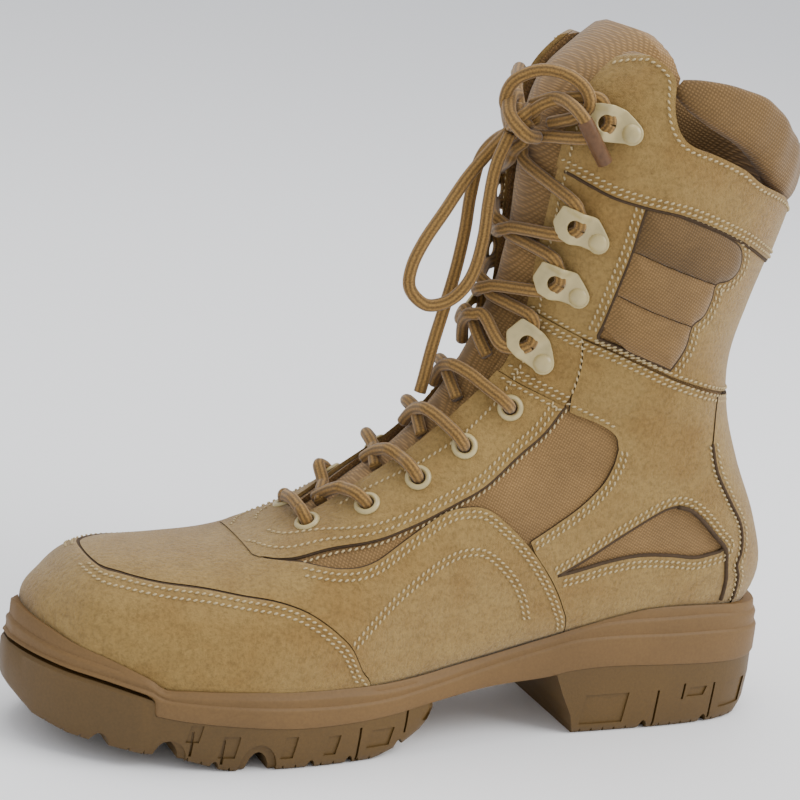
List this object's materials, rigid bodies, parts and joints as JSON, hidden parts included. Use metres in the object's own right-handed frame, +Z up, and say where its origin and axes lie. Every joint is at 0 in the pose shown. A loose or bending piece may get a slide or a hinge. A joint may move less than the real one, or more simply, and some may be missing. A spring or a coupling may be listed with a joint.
{
  "type": "combat boot",
  "caption": "Desert-tan laced combat boot: lugged rubber sole, hollow suede and nylon upper, tongue, eyelets, speed hooks and a tied bow.",
  "frame": {"origin": "middle of the boot's box, on the floor it stands on", "axes": "+X to the toe, +Y to the wearer's left, which is the outer side, +Z up"},
  "size_m": [0.3186, 0.108, 0.2825],
  "materials": {
    "suede": "napped",
    "nylon": "woven",
    "rubber": "matte",
    "midsole": "matte",
    "lining": "matte",
    "metal": "satin enamel",
    "lace": "braided",
    "insole": "matte",
    "aglet": "matte"
  },
  "bodies": {
    "root": {"aglet_short": "aglet", "ankle_band_inner": "suede", "ankle_band_outer": "suede", "back_strip": "suede", "collar_roll": "nylon", "cuff": "suede", "eyelet_inner_1": "metal", "eyelet_inner_2": "metal", "eyelet_inner_3": "metal", "eyelet_inner_4": "metal", "eyelet_inner_5": "metal", "eyelet_outer_1": "metal", "eyelet_outer_2": "metal", "eyelet_outer_3": "metal", "eyelet_outer_4": "metal", "eyelet_outer_5": "metal", "eyestay_inner": "suede", "eyestay_outer": "suede", "hook_inner_1": "metal", "hook_inner_2": "metal", "hook_inner_3": "metal", "hook_inner_4": "metal", "hook_outer_1": "metal", "hook_outer_2": "metal", "hook_outer_3": "metal", "hook_outer_4": "metal", "insole": "insole", "lace_bar": "lace", "lace_cross_1": "lace", "lace_cross_2": "lace", "lace_cross_3": "lace", "lace_cross_4": "lace", "lace_cross_5": "lace", "lace_cross_6": "lace", "lace_cross_7": "lace", "lace_cross_8": "lace", "lace_end_long": "lace", "lace_end_short": "lace", "lace_knot": "lace", "lace_loop_hanging": "lace", "lace_loop_upper": "lace", "midsole": "midsole", "outsole_forefoot": "rubber", "outsole_heel": "rubber", "rear_quarter_inner": "suede", "rear_quarter_outer": "suede", "shaft_pad_inner_1": "nylon", "shaft_pad_inner_2": "nylon", "shaft_pad_inner_3": "nylon", "shaft_pad_outer_1": "nylon", "shaft_pad_outer_2": "nylon", "shaft_pad_outer_3": "nylon", "shaft_panel": "suede", "toe_cap": "suede", "tongue": "nylon", "upper": "lining", "vamp": "suede"}
  },
  "joints": []
}
